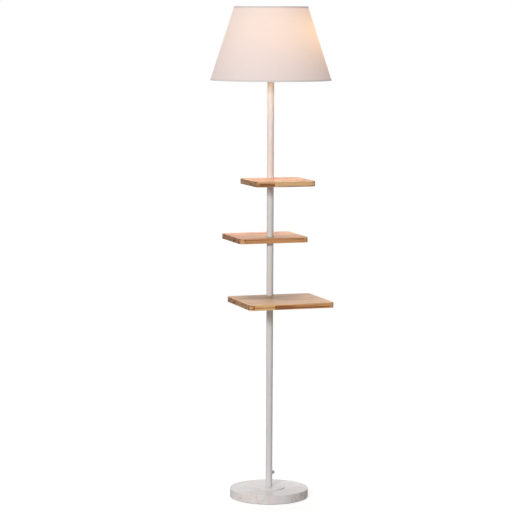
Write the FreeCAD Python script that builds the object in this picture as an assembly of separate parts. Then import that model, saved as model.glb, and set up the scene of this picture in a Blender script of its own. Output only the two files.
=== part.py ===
"""Shelf floor lamp: a screwed-together tube pole on a round stone foot, with three wooden
boards that swivel about it and a tapered fabric shade round a screw-in bulb.

Millimetres, +Z up. The origin is the centre of the foot's underside, and the pole stands on
the Z axis. The top and bottom boards reach out to the front (-Y), the middle one to the back.
"""
import FreeCAD, Part
import math
import os

Vec = FreeCAD.Vector
UP = Vec(0, 0, 1)

# ---- foot -------------------------------------------------------------------
foot_d = 255.0
foot_top = 30.0
foot_edge_r = 1.5
felt_d = 246.0
felt_t = 1.5
recess_d = 64.0
recess_depth = 11.0
washer_d = 32.0
washer_t = 2.0
lock_washer_d = 18.0
lock_washer_t = 1.4
lock_washer_gap = 1.2
nut_flats = 16.0
nut_h = 4.0
stud_below_nut = 2.0
plate_d = 102.0
plate_t = 3.0
plate_edge_r = 1.2

# ---- pole -------------------------------------------------------------------
pole_d = 22.0
pole_wall = 1.0
long_section = 306.5
short_section = 172.0
top_section = 316.0
insert_len = 15.0
thread_d = 10.0
nipple_bore = 7.0
nipple_grip = 12.0
thread_fit = 0.04
press_fit = 0.02
hole_fit = 0.08

# ---- shelf boards -----------------------------------------------------------
board_t = 17.0
board_corner_r = 16.0
board_edge_r = 1.2
board_washer_d = 20.6
board_washer_t = 0.8
board_seat_depth = 0.2
board_seat_gap = 0.3
bottom_board = dict(width=282.0, depth=248.0, edge_to_pole=20.0, side=-1)
middle_board = dict(width=234.0, depth=204.0, edge_to_pole=46.0, side=1)
top_board = dict(width=198.0, depth=185.0, edge_to_pole=20.0, side=-1)

# ---- cord gland and internal lead ------------------------------------------
gland_height = 80.0
gland_base_d = 14.0
gland_tip_d = 10.0
gland_reach = 7.0
gland_shank_d = 9.4
gland_bore = 6.2
gland_inner_x = 6.0
gland_nut_d = 13.0
gland_nut_t = 1.4
lead_d = 5.2
core_d = 1.8
core_pitch = 1.3
core_bend_r = 4.0

# ---- lampholder -------------------------------------------------------------
holder_d = 40.0
holder_wall = 2.0
neck_d = 20.0
neck_h = 8.0
cap_h = 26.0
cap_shoulder_z = 17.0
bush_d = 15.0
bush_h = 9.0
grub_d = 3.0
grub_len = 3.0
grub_z = 4.5
block_z = 22.0
block_h = 10.0
shell_d = 28.0
shell_bore = 27.2
shell_h = 20.0
shell_lip_r = 11.0
sheet_t = 0.4
skirt_h = 31.0
shoulder_d = 46.0
shoulder_t = 3.0
retaining_ring_d = 56.0
retaining_ring_h = 7.5
retaining_ring_notches = 12
notch_d = 3.0
terminal_x = 9.0
terminal_side = 5.0
terminal_h = 6.0
terminal_screw_d = 5.5
terminal_screw_h = 2.2
rivet_d = 2.0
shell_rivet_x = 12.3
contact_width = 6.0
contact_rise = 1.6

# ---- shade ------------------------------------------------------------------
shade_bottom_z = 1359.0
shade_top_z = 1595.0
shade_bottom_r = 195.0
shade_top_r = 118.0
cover_t = 0.8
liner_t = 0.6
trim_t = 0.5
trim_h = 5.0
wire_d = 3.6
fitter_t = 1.5
fitter_bore = 41.0
fitter_d = 58.0
fitter_arms = 3
arm_d = 3.4
weld_depth = 0.4
soft_gap = 0.05

# ---- bulb -------------------------------------------------------------------
bulb_cap_d = 26.3
bulb_cap_h = 20.0
bulb_tip_d = 9.0
bulb_tip_h = 1.5
bulb_glass_h = 3.0
globe_d = 60.0
globe_rise = 78.0
globe_wall = 1.2
collar_top_d = 52.0
led_board_d = 44.0
led_board_t = 1.6

# ---- heights up the pole, all measured from the foot's underside -------------
plate_top = foot_top + plate_t
seam_z = plate_top + long_section
board_stack = board_t + 2 * board_washer_t
bottom_stack_z = seam_z + long_section
middle_stack_z = bottom_stack_z + board_stack + short_section
top_stack_z = middle_stack_z + board_stack + short_section
top_section_z = top_stack_z + board_stack
holder_z = top_section_z + top_section
cap_top_z = holder_z + cap_h
block_bottom_z = holder_z + block_z
block_top_z = block_bottom_z + block_h
skirt_top_z = cap_top_z + skirt_h
fitter_z = cap_top_z + shoulder_t
contact_top_z = block_top_z + contact_rise + sheet_t

pole_bore = pole_d - 2 * pole_wall
holder_bore_r = holder_d / 2 - holder_wall


# ---- small building blocks ---------------------------------------------------
def disc(diameter, bottom, height):
    return Part.makeCylinder(diameter / 2, height, Vec(0, 0, bottom))


def ring(diameter, bore, bottom, height):
    return disc(diameter, bottom, height).cut(disc(bore, bottom, height))


def turned(profile):
    """A solid of revolution about Z from (radius, height) points."""
    points = [Vec(radius, 0, height) for radius, height in profile]
    face = Part.Face(Part.makePolygon(points + points[:1]))
    return face.revolve(Vec(0, 0, 0), UP, 360)


def circles_at(shape, height):
    """The edges of a turned shape that lie wholly at one height."""
    flat = [edge for edge in shape.Edges if edge.BoundBox.ZLength < 0.001]
    return [edge for edge in flat if abs(edge.BoundBox.ZMin - height) < 0.001]


def outer_circle_at(shape, height):
    return max(circles_at(shape, height), key=lambda edge: edge.BoundBox.XLength)


def round_bar(diameter, path):
    """A round bar swept along a wire of straight runs and tangent arcs."""
    start = path.Edges[0]
    direction = start.tangentAt(start.FirstParameter)
    circle = Part.makeCircle(diameter / 2, start.valueAt(start.FirstParameter), direction)
    return path.makePipeShell([Part.Wire([circle])], True, False)


def quarter_bend(start, first_way, second_way, radius):
    """The arc that turns from one direction into a second, square to it."""
    centre = start + second_way * radius
    end = centre + first_way * radius
    halfway = centre + (first_way - second_way) * (radius / math.sqrt(2))
    return Part.Arc(start, halfway, end).toShape(), end


def wall_radius(height):
    """The outer radius of the shade's tapered wall at a height."""
    along = (height - shade_bottom_z) / (shade_top_z - shade_bottom_z)
    return shade_bottom_r + along * (shade_top_r - shade_bottom_r)


def tapered_wall(bottom, top, outside, thickness):
    """A band of the shade's wall; outside is how far its face lies off the cover's face."""
    outer_bottom = wall_radius(bottom) + outside
    outer_top = wall_radius(top) + outside
    return turned([(outer_bottom - thickness, bottom), (outer_bottom, bottom),
                   (outer_top, top), (outer_top - thickness, top)])


# ---- foot --------------------------------------------------------------------
def felt_pad():
    return disc(felt_d, 0, felt_t)


def marble_foot():
    """The stone disc, recessed underneath for its nut, with eased rims."""
    stone = disc(foot_d, felt_t, foot_top - felt_t)
    rims = [outer_circle_at(stone, felt_t), outer_circle_at(stone, foot_top)]
    stone = stone.makeFillet(foot_edge_r, rims)
    stone = stone.cut(disc(recess_d, felt_t, recess_depth))
    return stone.cut(disc(thread_d + 2 * hole_fit, felt_t, foot_top))


def foot_washer():
    top = felt_t + recess_depth
    return ring(washer_d, thread_d + 2 * hole_fit, top - washer_t, washer_t)


def foot_lock_washer():
    """A split spring washer, drawn flat under the nut."""
    bottom = felt_t + recess_depth - washer_t - lock_washer_t
    washer = ring(lock_washer_d, thread_d + 2 * hole_fit, bottom, lock_washer_t)
    gap = Part.makeBox(lock_washer_d, lock_washer_gap, lock_washer_t,
                       Vec(0, -lock_washer_gap / 2, bottom))
    return washer.cut(gap)


def foot_nut_bottom():
    return felt_t + recess_depth - washer_t - lock_washer_t - nut_h


def foot_nut():
    bottom = foot_nut_bottom()
    corner_r = nut_flats / math.sqrt(3)
    corners = [Vec(corner_r * math.cos(math.radians(60 * side)),
                   corner_r * math.sin(math.radians(60 * side)), bottom) for side in range(7)]
    prism = Part.Face(Part.makePolygon(corners)).extrude(Vec(0, 0, nut_h))
    return prism.cut(disc(thread_d, bottom, nut_h))


def cover_plate():
    """The steel plate that hides the stone's hole and carries the pole."""
    plate = disc(plate_d, foot_top, plate_t)
    plate = plate.makeFillet(plate_edge_r, [outer_circle_at(plate, plate_top)])
    return plate.cut(disc(thread_d + 2 * hole_fit, foot_top, plate_t))


# ---- pole --------------------------------------------------------------------
def nipple(bottom, top):
    """A hollow threaded rod: it ties two pieces together and lets the lead through."""
    return ring(thread_d - 2 * thread_fit, nipple_bore, bottom, top - bottom)


def pole_section(bottom, length):
    return ring(pole_d, pole_bore, bottom, length)


def end_inserts(bottom, length):
    """The two tapped plugs pressed into the ends of one section."""
    plug_d = pole_bore - 2 * press_fit
    lower = ring(plug_d, thread_d, bottom, insert_len)
    upper = ring(plug_d, thread_d, bottom + length - insert_len, insert_len)
    return Part.makeCompound([lower, upper])


def gland_hole():
    """The hole through the lowest section's right side for the cord gland."""
    return Part.makeCylinder(gland_shank_d / 2 + hole_fit, pole_d, Vec(0, 0, gland_height),
                             Vec(1, 0, 0))


# ---- shelf boards --------------------------------------------------------------
def shelf_board(board, stack_z):
    """A board with rounded corners and eased edges, bored for the nipple through it.

    A shallow seat in its top takes the upper washer and clears the tube that stands on it.
    """
    bottom = stack_z + board_washer_t
    near = -board["side"] * board["edge_to_pole"]
    far = board["side"] * (board["depth"] - board["edge_to_pole"])
    slab = Part.makeBox(board["width"], board["depth"], board_t,
                        Vec(-board["width"] / 2, min(near, far), bottom))
    corners = [edge for edge in slab.Edges if edge.BoundBox.ZLength > board_t / 2]
    slab = slab.makeFillet(board_corner_r, corners)
    rims = [edge for edge in slab.Edges if edge.BoundBox.ZLength < 0.001]
    slab = slab.makeFillet(board_edge_r, rims)
    slab = slab.cut(disc(pole_d + 2 * board_seat_gap, bottom + board_t - board_seat_depth,
                         board_seat_depth))
    return slab.cut(disc(thread_d + 2 * hole_fit, bottom, board_t))


def shelf_washers(stack_z):
    """The thin washers under and over a board, on which it turns; the upper one is seated."""
    bore = thread_d + 2 * hole_fit
    lower = ring(board_washer_d, bore, stack_z, board_washer_t)
    seat = stack_z + board_washer_t + board_t - board_seat_depth
    upper = ring(board_washer_d, bore, seat, board_washer_t + board_seat_depth)
    return Part.makeCompound([lower, upper])


# ---- cord gland and internal lead -----------------------------------------------
def along_x(radius, start, end, tip_radius=None):
    """A round piece on the gland's axis, from one distance off the pole's axis to another."""
    place = Vec(start, 0, gland_height)
    if tip_radius is None:
        return Part.makeCylinder(radius, end - start, place, Vec(1, 0, 0))
    return Part.makeCone(radius, tip_radius, end - start, place, Vec(1, 0, 0))


def cord_gland():
    """A tapered collar seated on the tube, with a shank through its wall."""
    pole_r = pole_d / 2
    tip_x = pole_r + gland_reach
    collar = along_x(gland_base_d / 2, pole_r / 2, tip_x, gland_tip_d / 2)
    collar = collar.cut(Part.makeCylinder(pole_r, gland_base_d * 2,
                                          Vec(0, 0, gland_height - gland_base_d)))
    shank = along_x(gland_shank_d / 2, gland_inner_x, pole_r + gland_reach / 2)
    bore = along_x(gland_bore / 2, gland_inner_x, tip_x)
    return collar.fuse(shank).cut(bore).removeSplitter()


def gland_nut():
    """The ring that holds the gland from inside the tube."""
    outer = along_x(gland_nut_d / 2, gland_inner_x, gland_inner_x + gland_nut_t)
    return outer.cut(along_x(gland_shank_d / 2 + thread_fit, gland_inner_x,
                             gland_inner_x + gland_nut_t))


def lead_top():
    return holder_z + bush_h + 3.0


def internal_lead():
    """The lead from the gland up the pole, its jacket ending below the terminals."""
    start = Vec(gland_inner_x, 0, gland_height)
    bend, end = quarter_bend(start, Vec(-1, 0, 0), UP, gland_inner_x)
    riser = Part.LineSegment(end, Vec(0, 0, lead_top())).toShape()
    jacket = round_bar(lead_d, Part.Wire([bend, riser]))
    solids = [jacket] + [lead_core(side) for side in (-1, 1)]
    length = bend.Length + riser.Length
    print("lead: length %.1f, bend radius %.1f, volume over section %.4f"
          % (length, gland_inner_x, jacket.Volume / (length * math.pi * lead_d ** 2 / 4)))
    return Part.makeCompound(solids)


def lead_core(side):
    """One bared conductor, from the jacket's end to its terminal block."""
    start = Vec(side * core_pitch, 0, lead_top())
    entry_z = block_bottom_z - terminal_h / 2
    bend_start = Vec(side * core_pitch, 0, entry_z - core_bend_r)
    rise = Part.LineSegment(start, bend_start).toShape()
    bend, end = quarter_bend(bend_start, UP, Vec(side, 0, 0), core_bend_r)
    reach = Vec(side * (terminal_x - terminal_side / 2), 0, entry_z)
    run = Part.LineSegment(end, reach).toShape()
    return round_bar(core_d, Part.Wire([rise, bend, run]))


# ---- lampholder ------------------------------------------------------------------
def lampholder_cap():
    """The lower cup, from its threaded neck up to the ledge that carries the insulator."""
    neck_r = neck_d / 2
    bush_r = bush_d / 2
    ledge_r = holder_bore_r - holder_wall
    cup = turned([(bush_r, holder_z), (neck_r, holder_z), (neck_r + 1, holder_z + neck_h),
                  (holder_d / 2, holder_z + cap_shoulder_z), (holder_d / 2, cap_top_z),
                  (holder_bore_r, cap_top_z), (holder_bore_r, block_bottom_z),
                  (ledge_r, block_bottom_z), (ledge_r, holder_z + cap_shoulder_z + 1),
                  (bush_r, holder_z + bush_h)])
    return cup.cut(grub_cylinder(grub_d / 2 + thread_fit, neck_d))


def grub_cylinder(radius, length):
    return Part.makeCylinder(radius, length, Vec(0, bush_d / 2, holder_z + grub_z),
                             Vec(0, 1, 0))


def lampholder_bush():
    return ring(bush_d - 2 * press_fit, thread_d, holder_z, bush_h)


def lampholder_insulator():
    """The ceramic block between the terminals and the screw shell."""
    block = disc(2 * (holder_bore_r - press_fit), block_bottom_z, block_h)
    for x in (-terminal_x, shell_rivet_x):
        block = block.cut(Part.makeCylinder(rivet_d / 2 + press_fit, block_h,
                                            Vec(x, 0, block_bottom_z)))
    return block


def terminal_blocks():
    half = terminal_side / 2
    blocks = [Part.makeBox(terminal_side, terminal_side, terminal_h,
                           Vec(x - half, -half, block_bottom_z - terminal_h))
              for x in (-terminal_x, terminal_x)]
    return Part.makeCompound(blocks)


def terminal_screws():
    """The two cheese-head screws under the terminal blocks, each with its slot."""
    screws = []
    for x in (-terminal_x, terminal_x):
        bottom = block_bottom_z - terminal_h - terminal_screw_h
        head = Part.makeCylinder(terminal_screw_d / 2, terminal_screw_h, Vec(x, 0, bottom))
        slot = Part.makeBox(terminal_screw_d, sheet_t * 2, terminal_screw_h / 2,
                            Vec(x - terminal_screw_d / 2, -sheet_t, bottom))
        screws.append(head.cut(slot))
    return Part.makeCompound(screws)


def contact_rivets():
    """The rivets that tie each contact to its terminal through the insulator."""
    rivets = [Part.makeCylinder(rivet_d / 2, block_h, Vec(x, 0, block_bottom_z))
              for x in (-terminal_x, shell_rivet_x)]
    return Part.makeCompound(rivets)


def centre_contact():
    """The sprung strip that the bulb's tip presses on."""
    outline = [(-terminal_x - rivet_d / 2, 0), (-terminal_x / 2, 0), (0, contact_rise),
               (terminal_x / 2, contact_rise)]
    lower = [Vec(x, -contact_width / 2, block_top_z + rise) for x, rise in outline]
    upper = [point + Vec(0, 0, sheet_t) for point in reversed(lower)]
    face = Part.Face(Part.makePolygon(lower + upper + lower[:1]))
    return face.extrude(Vec(0, contact_width, 0))


def screw_shell():
    """The thin brass cup that the bulb's cap screws into."""
    outer_r = shell_d / 2
    inner_r = shell_bore / 2
    top = block_top_z + shell_h
    return turned([(shell_lip_r, block_top_z), (outer_r, block_top_z), (outer_r, top),
                   (inner_r, top), (inner_r, block_top_z + sheet_t),
                   (shell_lip_r, block_top_z + sheet_t)])


def lampholder_skirt():
    """The upper cup: a shoulder for the shade's fitter, then a threaded barrel."""
    barrel_r = holder_d / 2
    throat_r = shell_d / 2 + press_fit
    return turned([(holder_bore_r, cap_top_z), (shoulder_d / 2, cap_top_z),
                   (shoulder_d / 2, fitter_z), (barrel_r, fitter_z), (barrel_r, skirt_top_z),
                   (throat_r, skirt_top_z), (throat_r, block_top_z + holder_wall),
                   (throat_r + 1, block_top_z), (holder_bore_r, block_top_z)])


def retaining_ring():
    """The grooved ring that screws down on the fitter and holds the shade."""
    bottom = fitter_z + fitter_t
    outer_r = retaining_ring_d / 2
    collar = ring(retaining_ring_d, holder_d + 2 * thread_fit, bottom, retaining_ring_h)
    for count in range(retaining_ring_notches):
        angle = 2 * math.pi * count / retaining_ring_notches
        place = Vec(outer_r * math.cos(angle), outer_r * math.sin(angle), bottom)
        collar = collar.cut(Part.makeCylinder(notch_d / 2, retaining_ring_h, place))
    return collar


# ---- shade -------------------------------------------------------------------------
def wire_ring_radius(height):
    """The centre line of a wire ring lying against the liner at a height."""
    slope = (shade_bottom_r - shade_top_r) / (shade_top_z - shade_bottom_z)
    lean = math.sqrt(1 + slope ** 2)
    inner = wall_radius(height) - (cover_t + liner_t + 3 * soft_gap)
    return inner - wire_d / 2 * lean


def bottom_wire_z():
    return shade_bottom_z + trim_t + wire_d / 2 + soft_gap


def top_wire_z():
    return shade_top_z - trim_t - wire_d / 2 - soft_gap


def wire_ring(height):
    return Part.makeTorus(wire_ring_radius(height), wire_d / 2, Vec(0, 0, height))


def shade_fitter():
    """The flat ring on the lampholder and its three arms, welded to the bottom wire."""
    plate = ring(fitter_d, fitter_bore, fitter_z, fitter_t)
    inner = Vec((fitter_d + fitter_bore) / 4, 0, fitter_z - arm_d / 2 + weld_depth)
    outer = Vec(wire_ring_radius(bottom_wire_z()) - wire_d / 2 - soft_gap, 0, bottom_wire_z())
    level_end = Vec(fitter_d / 2 + arm_d, 0, inner.z)
    level = Part.makeCylinder(arm_d / 2, (level_end - inner).Length, inner, level_end - inner)
    knee = Part.makeSphere(arm_d / 2, level_end)
    drop = Part.makeCylinder(arm_d / 2, (outer - level_end).Length, level_end,
                             outer - level_end)
    arm = level.fuse([knee, drop])
    solid = plate
    for count in range(fitter_arms):
        turn = arm.copy()
        turn.rotate(Vec(0, 0, 0), UP, 90 + 360 * count / fitter_arms)
        solid = solid.fuse(turn)
    return solid.removeSplitter()


def shade_cover():
    return tapered_wall(shade_bottom_z + trim_t, shade_top_z - trim_t, 0, cover_t)


def shade_liner():
    return tapered_wall(shade_bottom_z + trim_t, shade_top_z - trim_t,
                        -cover_t - soft_gap, liner_t)


def shade_trim(edge, inward):
    """The folded binding over one edge: a lip outside, a fold across and a lip inside."""
    wall = cover_t + liner_t + 2 * soft_gap
    outer_edge = wall_radius(edge) + trim_t
    far = edge + inward * trim_h
    fold = edge + inward * trim_t
    outer_far = wall_radius(far) + trim_t
    inner_fold = wall_radius(fold) - wall
    return turned([(outer_edge, edge), (outer_far, far), (outer_far - trim_t + soft_gap, far),
                   (wall_radius(fold) + soft_gap, fold), (inner_fold, fold),
                   (inner_fold, edge)])


# ---- bulb --------------------------------------------------------------------------
def bulb_tip():
    return disc(bulb_tip_d, contact_top_z, bulb_tip_h)


def bulb_glass_z():
    return contact_top_z + bulb_tip_h


def bulb_insulator():
    """The dark glass cone between the tip contact and the screw cap."""
    return Part.makeCone(bulb_tip_d / 2, bulb_cap_d / 2 - 2, bulb_glass_h,
                         Vec(0, 0, bulb_glass_z()))


def bulb_cap_z():
    return bulb_glass_z() + bulb_glass_h


def bulb_cap():
    return disc(bulb_cap_d, bulb_cap_z(), bulb_cap_h)


def globe_centre_z():
    return contact_top_z + globe_rise


def collar_top_z():
    """Where the collar's top circle meets the globe."""
    return globe_centre_z() - math.sqrt((globe_d / 2) ** 2 - (collar_top_d / 2) ** 2)


def bulb_collar():
    """The plastic body that widens from the cap to the globe."""
    bottom = bulb_cap_z() + bulb_cap_h
    height = collar_top_z() - bottom
    return Part.makeCone(bulb_cap_d / 2 + 0.7, collar_top_d / 2, height, Vec(0, 0, bottom))


def bulb_led_board():
    return disc(led_board_d, collar_top_z(), led_board_t)


def bulb_globe():
    """The opal globe, cut off flat where it sits on the collar."""
    centre = Vec(0, 0, globe_centre_z())
    outer = Part.makeSphere(globe_d / 2, centre)
    inner = Part.makeSphere(globe_d / 2 - globe_wall, centre)
    below = disc(globe_d, collar_top_z() - globe_d, globe_d)
    return outer.cut(inner).cut(below)


# ---- the whole lamp ------------------------------------------------------------------
def foot_parts():
    stud_bottom = foot_nut_bottom() - stud_below_nut
    return {"felt_pad": felt_pad(),
            "marble_foot": marble_foot(),
            "foot_washer": foot_washer(),
            "foot_lock_washer": foot_lock_washer(),
            "foot_nut": foot_nut(),
            "foot_stud": nipple(stud_bottom, plate_top + nipple_grip),
            "cover_plate": cover_plate()}


def pole_parts():
    """The five sections with their inserts, and the nipple at each joint above the foot."""
    parts = {}
    sections = [(plate_top, long_section), (seam_z, long_section),
                (bottom_stack_z + board_stack, short_section),
                (middle_stack_z + board_stack, short_section), (top_section_z, top_section)]
    for count, (bottom, length) in enumerate(sections, 1):
        parts["pole_section_%d" % count] = pole_section(bottom, length)
        parts["pole_inserts_%d" % count] = end_inserts(bottom, length)
    parts["pole_section_1"] = parts["pole_section_1"].cut(gland_hole())
    parts["seam_nipple"] = nipple(seam_z - nipple_grip, seam_z + nipple_grip)
    parts["lampholder_nipple"] = nipple(holder_z - nipple_grip, holder_z + bush_h)
    return parts


def shelf_parts():
    parts = {}
    shelves = {"bottom_shelf": (bottom_board, bottom_stack_z),
               "middle_shelf": (middle_board, middle_stack_z),
               "top_shelf": (top_board, top_stack_z)}
    for name, (board, stack_z) in shelves.items():
        parts[name] = shelf_board(board, stack_z)
        parts[name + "_washers"] = shelf_washers(stack_z)
        parts[name + "_nipple"] = nipple(stack_z - nipple_grip,
                                         stack_z + board_stack + nipple_grip)
    return parts


def electrical_parts():
    return {"cord_gland": cord_gland(),
            "gland_nut": gland_nut(),
            "internal_lead": internal_lead(),
            "lampholder_cap": lampholder_cap(),
            "lampholder_bush": lampholder_bush(),
            "lampholder_grub_screw": grub_cylinder(grub_d / 2, grub_len),
            "lampholder_insulator": lampholder_insulator(),
            "terminal_blocks": terminal_blocks(),
            "terminal_screws": terminal_screws(),
            "contact_rivets": contact_rivets(),
            "centre_contact": centre_contact(),
            "screw_shell": screw_shell(),
            "lampholder_skirt": lampholder_skirt()}


def shade_parts():
    return {"shade_retaining_ring": retaining_ring(),
            "shade_fitter": shade_fitter(),
            "shade_bottom_wire": wire_ring(bottom_wire_z()),
            "shade_top_wire": wire_ring(top_wire_z()),
            "shade_liner": shade_liner(),
            "shade_cover": shade_cover(),
            "shade_bottom_trim": shade_trim(shade_bottom_z, 1),
            "shade_top_trim": shade_trim(shade_top_z, -1)}


def bulb_parts():
    return {"bulb_tip": bulb_tip(),
            "bulb_insulator": bulb_insulator(),
            "bulb_cap": bulb_cap(),
            "bulb_collar": bulb_collar(),
            "bulb_led_board": bulb_led_board(),
            "bulb_globe": bulb_globe()}


def all_parts():
    parts = {}
    for group in (foot_parts, pole_parts, shelf_parts, electrical_parts, shade_parts,
                  bulb_parts):
        parts.update(group())
    return parts


os.makedirs("parts", exist_ok=True)
for name, shape in all_parts().items():
    if not shape.isValid():
        raise ValueError(name + " is not a valid shape")
    shape.exportStep("parts/%s.step" % name)
    print("%-24s %2d solid(s), %10.1f mm3" % (name, len(shape.Solids), shape.Volume))
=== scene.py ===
"""A shelf floor lamp: a white tube pole on a marble foot, three wooden boards that swivel on
it, and a tapered fabric shade round a lit bulb.

It is built up as the lamp is, from the foot to the bulb. Sizes are in millimetres and are
turned to metres as each mesh is made. +Z is up and the pole stands on the Z axis.
"""
import math
from functools import partial

import bmesh
import bpy
from mathutils import Matrix, Vector


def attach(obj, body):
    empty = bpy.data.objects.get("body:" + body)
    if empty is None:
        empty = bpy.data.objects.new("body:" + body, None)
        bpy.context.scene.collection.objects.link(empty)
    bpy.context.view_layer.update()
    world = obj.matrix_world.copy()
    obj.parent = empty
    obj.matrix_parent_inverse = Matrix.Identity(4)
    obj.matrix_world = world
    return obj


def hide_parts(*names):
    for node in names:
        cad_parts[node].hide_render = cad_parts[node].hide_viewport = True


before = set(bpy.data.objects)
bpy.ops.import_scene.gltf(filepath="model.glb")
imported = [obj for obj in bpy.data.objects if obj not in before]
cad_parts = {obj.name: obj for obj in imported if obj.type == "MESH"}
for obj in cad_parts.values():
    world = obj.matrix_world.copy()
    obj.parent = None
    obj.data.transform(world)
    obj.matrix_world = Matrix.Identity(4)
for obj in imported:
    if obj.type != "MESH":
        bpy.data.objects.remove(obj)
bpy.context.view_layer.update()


# ---- the studio ---------------------------------------------------------------------
# A long lens at head height, a little to the left of the boards' front. A small soft lamp
# stands to the left, higher than the shade, and a wide one hangs overhead; faint light
# comes from all round, and the background shows as plain white.
camera_away = 7.0
camera_height = 1.562
camera_azimuth = math.radians(-18.5)
camera_yaw = math.radians(0.371)
camera_pitch = math.radians(-6.28)
camera_roll = math.radians(0.23)
focal_pixels = 2176
frame_pixels = 512
sensor_mm = 36.0

scene = bpy.context.scene
scene.view_settings.view_transform = "Standard"
camera_data = bpy.data.cameras.new("camera")
camera_data.sensor_width = sensor_mm
camera_data.lens = focal_pixels / frame_pixels * sensor_mm
camera = bpy.data.objects.new("camera", camera_data)
camera.matrix_world = (
    Matrix.Translation((camera_away * math.sin(camera_azimuth),
                        -camera_away * math.cos(camera_azimuth), camera_height))
    @ Matrix.Rotation(camera_azimuth + camera_yaw, 4, "Z")
    @ Matrix.Rotation(math.radians(90) + camera_pitch, 4, "X")
    @ Matrix.Rotation(camera_roll, 4, "Z"))
scene.collection.objects.link(camera)
scene.camera = camera

lamp_middle = 0.85


def soft_lamp(name, azimuth, elevation, distance, size, watts, colour):
    """A square soft box that looks at the lamp's middle from a direction in degrees."""
    light = bpy.data.lights.new(name, "AREA")
    light.size = size
    light.energy = watts
    light.color = colour
    side, up = math.radians(azimuth), math.radians(elevation)
    away = Vector((math.sin(side) * math.cos(up), -math.cos(side) * math.cos(up), math.sin(up)))
    lamp = bpy.data.objects.new(name, light)
    lamp.location = Vector((0, 0, lamp_middle)) + away * distance
    lamp.rotation_euler = away.to_track_quat("Z", "Y").to_euler()
    scene.collection.objects.link(lamp)


soft_lamp("key_light", azimuth=-36.5, elevation=14.2, distance=5.35, size=0.9, watts=165,
          colour=(1.0, 0.997, 0.99))
soft_lamp("overhead_light", azimuth=168, elevation=80, distance=4.0, size=3.0, watts=122,
          colour=(1.0, 0.995, 0.99))


def add(tree, kind, sockets=None, **settings):
    """Adds a node, with each named or numbered socket given a value or linked."""
    node = tree.nodes.new(kind)
    for setting, value in settings.items():
        setattr(node, setting, value)
    for socket, value in (sockets or {}).items():
        if isinstance(value, bpy.types.NodeSocket):
            tree.links.new(value, node.inputs[socket])
        else:
            node.inputs[socket].default_value = value
    return node


def maths(tree, operation, *values, clamp=False):
    """A Math node's result; each value is a number or a socket."""
    return add(tree, "ShaderNodeMath", dict(enumerate(values)), operation=operation,
               use_clamp=clamp).outputs[0]


def by_ray(tree, lit, reflected, seen):
    """One of three numbers: for light that falls on things, in reflections, and in view."""
    path = add(tree, "ShaderNodeLightPath").outputs
    direct = maths(tree, "MAXIMUM", path["Is Camera Ray"], path["Is Transmission Ray"])
    level = maths(tree, "MULTIPLY_ADD", path["Is Glossy Ray"], reflected - lit, lit)
    return maths(tree, "MULTIPLY_ADD", direct, maths(tree, "SUBTRACT", seen, lit), level)


scene.world = bpy.data.worlds.new("studio")
scene.world.use_nodes = True
sky = scene.world.node_tree
sky.nodes.clear()
sky_level = by_ray(sky, lit=0.17, reflected=0.90, seen=1.0)
backdrop = add(sky, "ShaderNodeBackground", {"Color": (1, 1, 1, 1), "Strength": sky_level})
add(sky, "ShaderNodeOutputWorld", {0: backdrop.outputs[0]})

floor_radius = 2.6
floor_sides = 128
floor_tone = (0.5, 0.5, 0.5, 1)
floor_level = 0.66
floor_level_gain = 0.09

floor_mesh = bpy.data.meshes.new("floor")
floor_rim = [(floor_radius * math.cos(turn), floor_radius * math.sin(turn), 0)
             for turn in (2 * math.pi * side / floor_sides for side in range(floor_sides))]
floor_mesh.from_pydata(floor_rim, [], [tuple(range(floor_sides))])
floor_look = bpy.data.materials.new("pale floor")
floor_look.use_nodes = True
tree = floor_look.node_tree
tree.nodes.clear()
paper = add(tree, "ShaderNodeBsdfDiffuse", {"Color": floor_tone})
place = add(tree, "ShaderNodeTexCoord").outputs["Object"]
outward = add(tree, "ShaderNodeVectorMath", {0: place}, operation="LENGTH").outputs["Value"]
brighten = maths(tree, "MULTIPLY_ADD", outward, floor_level_gain, floor_level)
lift = add(tree, "ShaderNodeEmission", {"Color": (1, 1, 1, 1),
                                        "Strength": by_ray(tree, 0.0, 0.2, brighten)})
floor_surface = add(tree, "ShaderNodeAddShader", {0: paper.outputs[0], 1: lift.outputs[0]})
add(tree, "ShaderNodeOutputMaterial", {0: floor_surface.outputs[0]})
floor_mesh.materials.append(floor_look)
floor = bpy.data.objects.new("floor", floor_mesh)
scene.collection.objects.link(floor)


# ---- felt pad -----------------------------------------------------------------------
# A round of grey needle felt, die-cut a little smaller than the stone and glued under it,
# so that the marble neither scratches the floor nor slides on it.
MM = 0.001
felt_radius = 123.0
felt_thickness = 1.5
felt_ease = 0.4


def paint(red, green, blue):
    """The linear colour of a finish that is seen as these screen values."""
    def linear(value):
        share = value / 255
        return share / 12.92 if share <= 0.04045 else ((share + 0.055) / 1.055) ** 2.4
    return (linear(red), linear(green), linear(blue), 1.0)


def new_look(name, **sockets):
    """A material with one Principled shader; returns it, its nodes and object coordinates."""
    look = bpy.data.materials.new(name)
    look.use_nodes = True
    tree = look.node_tree
    surface = tree.nodes["Principled BSDF"]
    for socket, value in sockets.items():
        surface.inputs[socket.replace("_", " ")].default_value = value
    return look, tree, surface, add(tree, "ShaderNodeTexCoord").outputs["Object"]


def noise(tree, place, repeats, detail=2.0, distortion=0.0, shift=(0, 0, 0), turn=(0, 0, 0)):
    """A soft random pattern from 0 to 1, with so many repeats a metre along each axis."""
    spot = add(tree, "ShaderNodeMapping", {"Vector": place, "Location": shift,
                                           "Rotation": turn, "Scale": repeats}).outputs[0]
    return add(tree, "ShaderNodeTexNoise", {"Vector": spot, "Scale": 1.0, "Detail": detail,
                                            "Distortion": distortion}).outputs[0]


def between(tree, share, low, high, share_low=0.0, share_high=1.0):
    """A number that follows share, from low to high over a range of it."""
    return add(tree, "ShaderNodeMapRange", {"Value": share, "From Min": share_low,
                                            "From Max": share_high, "To Min": low,
                                            "To Max": high}).outputs[0]


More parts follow.
